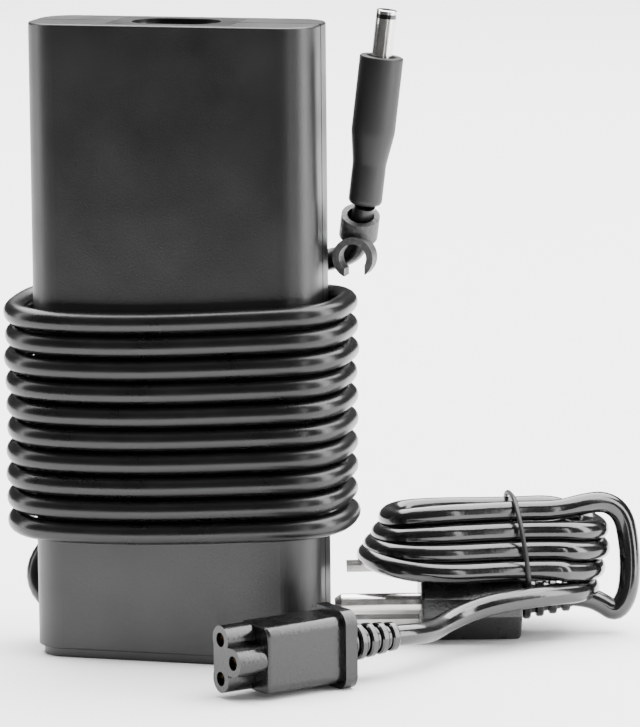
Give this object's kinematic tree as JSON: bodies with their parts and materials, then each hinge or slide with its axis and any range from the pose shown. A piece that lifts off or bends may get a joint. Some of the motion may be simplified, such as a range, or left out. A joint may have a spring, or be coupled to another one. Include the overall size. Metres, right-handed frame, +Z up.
{
  "type": "laptop power adapter",
  "caption": "Slim power brick standing on end with its output cord wound round it, a cord clip, a barrel plug, and a separate tied mains lead.",
  "frame": {"origin": "middle of the brick's foot, on the surface it stands on", "axes": "+Z up along the brick's length, +X along its width, -Y out of its front cover"},
  "size_m": [0.1354, 0.1078, 0.1461],
  "materials": {
    "case_plastic": "moulded, fine texture",
    "foot_plastic": "moulded",
    "label_film": "blank printed film",
    "inlet_plastic": "moulded",
    "contact_metal": "drawn",
    "board": "glass-fibre laminate with solder mask",
    "ceramic": "glazed ceramic",
    "ceramic_blue": "dipped ceramic",
    "film_capacitor": "moulded box",
    "ferrite": "sintered",
    "copper_wire": "enamelled",
    "chip_epoxy": "moulded epoxy",
    "capacitor_sleeve": "shrunk sleeve",
    "aluminium_sheet": "pressed sheet",
    "tape": "polyester tape",
    "thermal_rubber": "soft pad",
    "soft_black": "overmoulded",
    "hard_black": "moulded",
    "output_cord": "extruded",
    "nickel": "plated",
    "clip_nylon": "moulded nylon",
    "connector_plastic": "moulded PVC",
    "mains_cord": "extruded PVC"
  },
  "bodies": {
    "adapter": {"front_cover": "case_plastic", "rear_cover": "case_plastic", "foot_plate": "foot_plastic", "rating_label": "label_film", "inlet_housing": "inlet_plastic", "inlet_pins": "contact_metal", "circuit_board": "board", "fuse": "ceramic", "x_capacitor": "film_capacitor", "choke_core": "ferrite", "choke_winding": "copper_wire", "bridge_rectifier": "chip_epoxy", "bulk_capacitor": "capacitor_sleeve", "primary_heat_sink": "aluminium_sheet", "power_switch": "chip_epoxy", "transformer_core": "ferrite", "transformer_winding": "tape", "secondary_heat_sink": "aluminium_sheet", "output_rectifier": "chip_epoxy", "output_capacitors": "capacitor_sleeve", "output_choke": "ferrite", "safety_capacitors": "ceramic_blue", "output_wires": "copper_wire", "shield_plate": "aluminium_sheet", "insulation_sheet": "tape", "thermal_pad": "thermal_rubber", "output_strain_relief": "soft_black", "output_cord_coil": "output_cord", "output_cord_lower": "output_cord", "output_cord_upper": "output_cord", "plug_overmould": "soft_black", "plug_base_ring": "hard_black", "plug_barrel": "nickel", "plug_insulator": "hard_black", "plug_inner_sleeve": "nickel", "plug_pin_seat": "hard_black", "plug_centre_pin": "contact_metal"},
    "clip": {"cord_clip": "clip_nylon"},
    "lead": {"connector_body": "connector_plastic", "connector_contacts": "contact_metal", "connector_relief": "connector_plastic", "mains_plug_body": "connector_plastic", "mains_plug_blades": "nickel", "mains_plug_earth_pin": "nickel", "mains_plug_neck": "connector_plastic", "mains_lead_hank": "mains_cord", "mains_lead_front": "mains_cord", "mains_lead_back": "mains_cord", "mains_lead_tie": "soft_black", "mains_lead_hank_end": "mains_cord"}
  },
  "joints": [
    {"name": "clip_swivel", "type": "hinge", "parent": "adapter", "child": "clip", "pos_m": [0.0396, 0.0072, 0.0976], "axis": [0.2199, -0.4498, 0.8656], "range_deg": [-10, 120]},
    {"name": "lead_slide", "type": "slide", "parent": "adapter", "child": "lead", "axis": [1, 0, 0], "range_m": [0, 0.15]}
  ]
}
